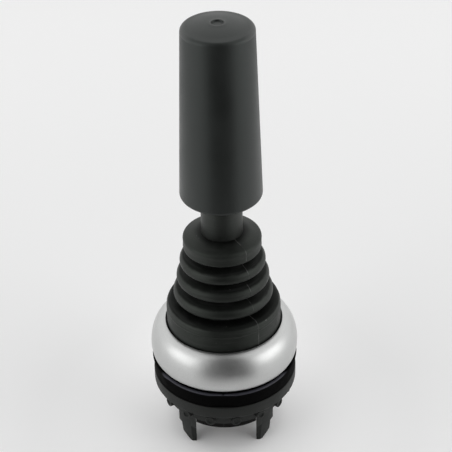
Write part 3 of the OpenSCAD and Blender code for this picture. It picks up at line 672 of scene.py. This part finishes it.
nutOutline = [(nut["bore"], nut["low"] + nut["lead"]), (nut["bore"], nut["top"])]
nutOutline += [(nut["radius"], nut["top"], nut["topEdge"]), (nut["radius"], nut["step"], nut["stepEdge"])]
nutOutline += [(nut["band"], nut["step"]), (nut["band"], nut["low"], nut["edge"])]
nutOutline += [(nut["bore"] + nut["lead"], nut["low"])]
nubIn, nubOut, dishFloor = nut["nubIn"], nut["nubOut"], nut["nubOut"] - nut["dishDepth"]
nubOutline = [(0, nubIn), (nut["nubRadius"], nubIn), (nut["nubRadius"], nubOut, nut["nubEdge"])]
nubOutline += [(nut["dishRadius"], nubOut, nut["dishEdge"]), (nut["dishRadius"] - nut["dishSlope"], dishFloor)]
nubOutline += [(0, dishFloor)]
webOut, webTop = nubOut - nut["webBack"], nut["step"] + nut["webInto"]
webSize = (webOut - nubIn, 2 * nut["nubRadius"] - nut["webSlim"], webTop - nut["nubZ"])
webMid = ((webOut + nubIn) / 2, 0, nut["nubZ"] + webSize[2] / 2)
pins, webs = bmesh.new(), bmesh.new()
for i in range(nut["nubs"]):
    pin = lathe(nubOutline, steps=32)
    turn = math.radians(nut["turn"]) + (i + 0.5) * 2 * math.pi / nut["nubs"]
    outward = Matrix.Rotation(turn, 4, "Z") @ Matrix.Rotation(math.pi / 2, 4, "Y")
    lift = Matrix.Translation((0, 0, nut["nubZ"] * mm))
    bmesh.ops.transform(pin, matrix=lift @ outward, verts=pin.verts)
    joined(pins, pin)
    web = Matrix.Rotation(turn, 4, "Z") @ Matrix.Translation(Vector(webMid) * mm)
    bmesh.ops.create_cube(webs, size=mm, matrix=web @ Matrix.Diagonal((*webSize, 1)))
nutShape = combined(combined(lathe(nutOutline, steps=fineSteps), webs, "UNION"), pins, "UNION")
ringNut = shown("ringNut", nutShape, greyPlastic)
settle(ringNut, "ring_nut", "grey_plastic", "ring_nut")
print("ring nut made")


base = {"floorRadius": 9.45, "floorLow": 5.9, "floorTop": 7.3, "floorEdge": 0.2,
        "legRadius": 10.9, "legThick": 1.7, "legTop": 7.2, "arcFrom": 15, "arcSweep": 55, "arcSteps": 44,
        "startX": 6.19, "frontY": 8.1, "rootLow": 4.1, "taper": 0.2, "backY": 5.45, "rootX": 9.44,
        "lean": 0.5, "slant": 1.2, "tipX": 7.39, "edge": 0.14, "softAngle": 25,
        "shoulderWide": 1.0, "shoulderHigh": 2.9, "shoulderBack": 0.2, "shoulderInto": 0.2,
        "plungerCircle": 5.6, "guide": 1.46, "guideRim": 1.9, "guideDepth": 0.44, "guidePast": 1}


def trimmed(bm, point, normal):
    # cuts off what lies on the normal's side of a plane, and closes the cut
    parts = bm.verts[:] + bm.edges[:] + bm.faces[:]
    cut = bmesh.ops.bisect_plane(bm, geom=parts, dist=sliver, plane_co=Vector(point) * mm,
                                 plane_no=normal, clear_outer=True)
    rim = [e for e in cut["geom_cut"] if isinstance(e, bmesh.types.BMEdge)]
    bmesh.ops.contextual_create(bm, geom=rim)


def arcBlock(*profile):
    # a piece of a round wall that covers the back right quarter
    bm = bmesh.new()
    corners = [bm.verts.new((r * mm, 0, z * mm)) for r, z in profile]
    face = bm.faces.new(corners)
    start = Matrix.Rotation(math.radians(base["arcFrom"]), 3, "Z")
    bmesh.ops.rotate(bm, verts=corners, cent=(0, 0, 0), matrix=start)
    bmesh.ops.spin(bm, geom=[face, *face.edges, *corners], cent=(0, 0, 0), axis=(0, 0, 1),
                   angle=math.radians(base["arcSweep"]), steps=base["arcSteps"])
    return closed(bm)


def plungerSpot(turn):
    # quarter turns from the right one, over the back and the left, to the front
    out = Matrix.Translation(Vector((base["plungerCircle"], 0, 0)) * mm)
    return Matrix.Rotation(turn * math.pi / 2, 4, "Z") @ out


legInner = base["legRadius"] - base["legThick"]
leg = arcBlock((legInner, 0), (base["legRadius"] - base["taper"], 0), (base["legRadius"], base["rootLow"]),
               (base["legRadius"], base["legTop"]), (legInner, base["legTop"]))
trimmed(leg, (0, base["backY"], 0), (0, -1, 0))
trimmed(leg, (base["startX"], 0, 0), (-1, 0, 0))
bend = Vector((base["rootX"] - base["lean"], 0, base["slant"]))
lean = Vector((base["rootX"], 0, base["floorLow"])) - bend
slant = bend - Vector((base["tipX"], 0, 0))
trimmed(leg, bend, (lean.z, 0, -lean.x))
trimmed(leg, bend, (slant.z, 0, -slant.x))
bmesh.ops.recalc_face_normals(leg, faces=leg.faces)
front = bmesh.new()
half = base["legRadius"] / 2
frontMid = (half, base["frontY"] + half, base["rootLow"] - half)
bmesh.ops.create_cube(front, size=base["legRadius"] * mm, matrix=Matrix.Translation(Vector(frontMid) * mm))
leg = combined(leg, front, "DIFFERENCE")
soften(leg, base["edge"], base["softAngle"], 3)
shoulderRadius, shoulderLow = base["legRadius"] - base["shoulderBack"], base["floorLow"] - base["shoulderHigh"]
shoulder = arcBlock((legInner, shoulderLow), (shoulderRadius, shoulderLow),
                    (shoulderRadius, base["floorLow"]), (legInner, base["floorLow"]))
trimmed(shoulder, (0, base["backY"] + base["shoulderInto"], 0), (0, 1, 0))
trimmed(shoulder, (0, base["backY"] - base["shoulderWide"], 0), (0, -1, 0))
bmesh.ops.recalc_face_normals(shoulder, faces=shoulder.faces)
soften(shoulder, base["edge"] / 2, base["softAngle"])
joined(leg, shoulder)
for axis in ("X", "Y"):
    parts = leg.verts[:] + leg.edges[:] + leg.faces[:]
    bmesh.ops.mirror(leg, geom=parts, matrix=Matrix(), merge_dist=-1, axis=axis)
bmesh.ops.recalc_face_normals(leg, faces=leg.faces)

floorLow, floorTop, past = base["floorLow"], base["floorTop"], base["guidePast"]
plate = lathe([(0, floorLow), (base["floorRadius"], floorLow, base["floorEdge"]),
               (base["floorRadius"], floorTop), (0, floorTop)])
guideOutline = [(0, floorLow - past), (base["guideRim"] + past, floorLow - past)]
guideOutline += [(base["guide"], floorLow + base["guideDepth"]), (base["guide"], floorTop + past), (0, floorTop + past)]
guides = bmesh.new()
for turn in range(4):
    guide = lathe(guideOutline, steps=48)
    bmesh.ops.transform(guide, matrix=plungerSpot(turn), verts=guide.verts)
    joined(guides, guide)
legBase = shown("legBase", joined(combined(plate, guides, "DIFFERENCE"), leg), greyPlastic)
settle(legBase, "housing", "grey_plastic", "leg_base")
print("leg base made")


plunger = {"radius": 1.4, "low": 4.4, "lowEdge": 0.3, "collar": 2.0, "collarLow": 10.5, "collarTop": 11.5,
           "collarEdge": 0.12, "domeSteps": 8}
spring = {"low": 7.3, "high": 10.5, "wire": 0.2, "radius": 1.66, "turns": 4, "stepsPerTurn": 32, "sides": 10}

for turn, side in enumerate(("right", "back", "left", "front")):
    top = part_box("plunger_" + side)[1].z / mm
    spot = plungerSpot(turn)
    thick, collar, edge = plunger["radius"], plunger["collar"], plunger["collarEdge"]
    stem = [(0, plunger["low"]), (thick, plunger["low"], plunger["lowEdge"]), (thick, plunger["collarLow"])]
    stem += [(collar, plunger["collarLow"], edge), (collar, plunger["collarTop"], edge)]
    stem += [(thick, plunger["collarTop"])]
    stem += bow((thick, top - thick), (0, top), 0, 90, plunger["domeSteps"])[:-1] + [(0, top)]
    rod = lathe(stem, steps=48)
    bmesh.ops.transform(rod, matrix=spot, verts=rod.verts)
    made = shown("plungerRod_" + side, rod, palePlastic)
    settle(made, "plunger_" + side, "pale_plastic", "plunger_" + side)

    coil = bmesh.new()
    wireEnd = Matrix.Translation((spring["radius"] * mm, 0, (spring["low"] + spring["wire"]) * mm))
    bmesh.ops.create_circle(coil, segments=spring["sides"], radius=spring["wire"] * mm, cap_ends=True,
                            matrix=wireEnd @ Matrix.Rotation(math.pi / 2, 4, "X"))
    steps = spring["turns"] * spring["stepsPerTurn"]
    rise = (spring["high"] - spring["low"] - 2 * spring["wire"]) / steps
    bmesh.ops.spin(coil, geom=coil.verts[:] + coil.edges[:] + coil.faces[:], cent=(0, 0, 0), axis=(0, 0, 1),
                   dvec=(0, 0, rise * mm), angle=2 * math.pi * spring["turns"], steps=steps)
    bmesh.ops.transform(coil, matrix=spot, verts=coil.verts)
    made = shown("springCoil_" + side, closed(coil), springSteel)
    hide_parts("spring_" + side)
    x, y = spot.translation.x, spot.translation.y
    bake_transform(made, "housing", "plunger_" + side, start=(x, y, spring["low"] * mm), end=(x, y, spring["high"] * mm))
print("plungers and springs made")


innerFinish = {"bellows_clamp_ring": innerPlastic, "gimbal_carrier": innerPlastic, "gimbal_ring": gimbalMetal,
               "carrier_pin_left": pinSteel, "carrier_pin_right": pinSteel, "hub_pin_front": pinSteel,
               "hub_pin_back": pinSteel, "rocker": palePlastic, "rocker_screw": pinSteel}

for name, finish in innerFinish.items():
    solid = nodes[name]
    if not solid.material_slots:
        solid.data.materials.append(finish)
    for holder in solid.material_slots:
        holder.material = finish


stand = {"reach": 900, "near": grey(0.93), "far": grey(0.99), "from": 40, "to": 190, "bounce": grey(1),
         "dark": grey(0.1), "darkFrom": 20, "darkTo": 90, "darkEdge": (0.70, 0.92), "darkTurn": 4,
         "lift": 0.1, "liftIn": (9, 14), "liftOut": (16, 42), "least": 1e-8,
         "grain": 6, "gloss": (0.85, 0.95), "sheen": 0.1}

floorShape = bmesh.new()
bmesh.ops.create_grid(floorShape, x_segments=2, y_segments=2, size=stand["reach"] * mm)
floorFinish = newFinish("paleFloor")
floorPlace = floorFinish.place()
floorX, floorY = floorFinish.split(floorPlace)[:2]
# painted shade: the floor is painted darker near the object and in front, lighter further back
floorTone = floorFinish.ramp(floorY, stand["from"] * mm, stand["to"] * mm)
floorGrain = floorFinish.noise(floorPlace, stand["grain"], 3.0)
away = floorFinish.reach(floorX, floorY, stand["least"])
darkTurn = math.radians(stand["darkTurn"])
# painted shade: to reflected and bounced rays the floor in front of the object is dark, while the camera sees it pale
ahead = (floorX * math.sin(darkTurn) - floorY * math.cos(darkTurn)) / away
ahead = floorFinish.ramp(ahead, *stand["darkEdge"])
ahead = ahead * floorFinish.ramp(away / mm, stand["darkFrom"], stand["darkTo"])
seen = floorFinish.add("LightPath", out="Is Camera Ray")
notSeen = 1 - seen
pale = floorFinish.mix(floorTone, stand["near"], stand["far"])
pale = floorFinish.mix(notSeen, pale, stand["bounce"])
# painted light: a glow seen only by the camera lightens the contact shadow in a ring around the base
paintedGlow = floorFinish.ramp(away / mm, *stand["liftIn"]) * floorFinish.ramp(away / mm, *stand["liftOut"], 1, 0) * seen
floorFinish.surface({
    "Base Color": floorFinish.mix(ahead * notSeen, pale, stand["dark"]),
    "Emission Color": floorFinish.mix(paintedGlow, grey(0), grey(stand["lift"])),
    "Emission Strength": 1.0,
    "Roughness": floorFinish.ramp(floorGrain, *noiseSpan, *stand["gloss"]),
    "Specular IOR Level": stand["sheen"],
})
floor = shown("floor", floorShape, floorFinish.owner)

sky = {"side": grey(0.99), "middle": grey(1.08), "middleAt": (0.25, 0.65), "above": grey(0.2), "aboveAt": (0.92, 0.99),
       "front": grey(0.08), "frontAt": (0.66, 0.95), "frontTop": (0.985, 1.0),
       "seen": grey(0.86), "strength": 1.0, "least": 0.0001}

world = bpy.data.worlds.new("studio")
bpy.context.scene.world = world
skyFinish = Finish(world)
skyX, skyY, skyZ = skyFinish.split(skyFinish.add("TexCoord", out="Generated"))
level = skyFinish.reach(skyX, skyY, sky["least"])
frontward = (skyX * math.sin(darkTurn) - skyY * math.cos(darkTurn)) / level
darkFront = skyFinish.ramp(frontward, *sky["frontAt"]) * skyFinish.ramp(skyZ, *sky["frontTop"], 1, 0)
tone = skyFinish.mix(skyFinish.ramp(skyZ, *sky["middleAt"]), sky["side"], sky["middle"])
tone = skyFinish.mix(skyFinish.ramp(skyZ, *sky["aboveAt"]), tone, sky["above"])
tone = skyFinish.mix(darkFront, tone, sky["front"])
tone = skyFinish.mix(skyFinish.add("LightPath", out="Is Camera Ray"), tone, sky["seen"])
glow = skyFinish.add("Background", {}, {"Color": tone, "Strength": sky["strength"]})
skyFinish.add("OutputWorld", {}, {"Surface": glow})

lamps = {"left": {"azimuth": -68, "elevation": 14, "distance": 560, "size": (460, 380), "power": 0.52},
         "right": {"azimuth": 75, "elevation": 13, "distance": 560, "size": (460, 380), "power": 0.6}}
lampAim = Vector((0, 0, 45)) * mm

for name, lamp in lamps.items():
    lampData = bpy.data.lights.new("softbox_" + name, "AREA")
    lampData.shape = "RECTANGLE"
    lampData.size, lampData.size_y = (side * mm for side in lamp["size"])
    lampData.energy = lamp["power"]
    softbox = bpy.data.objects.new("softbox_" + name, lampData)
    bpy.context.scene.collection.objects.link(softbox)
    turn, rise = math.radians(lamp["azimuth"]), math.radians(lamp["elevation"])
    away = Vector((math.sin(turn) * math.cos(rise), -math.cos(turn) * math.cos(rise), math.sin(rise)))
    softbox.location = lampAim + away * lamp["distance"] * mm
    softbox.rotation_euler = away.to_track_quat("Z", "Y").to_euler()
print("floor, world and lamps made")
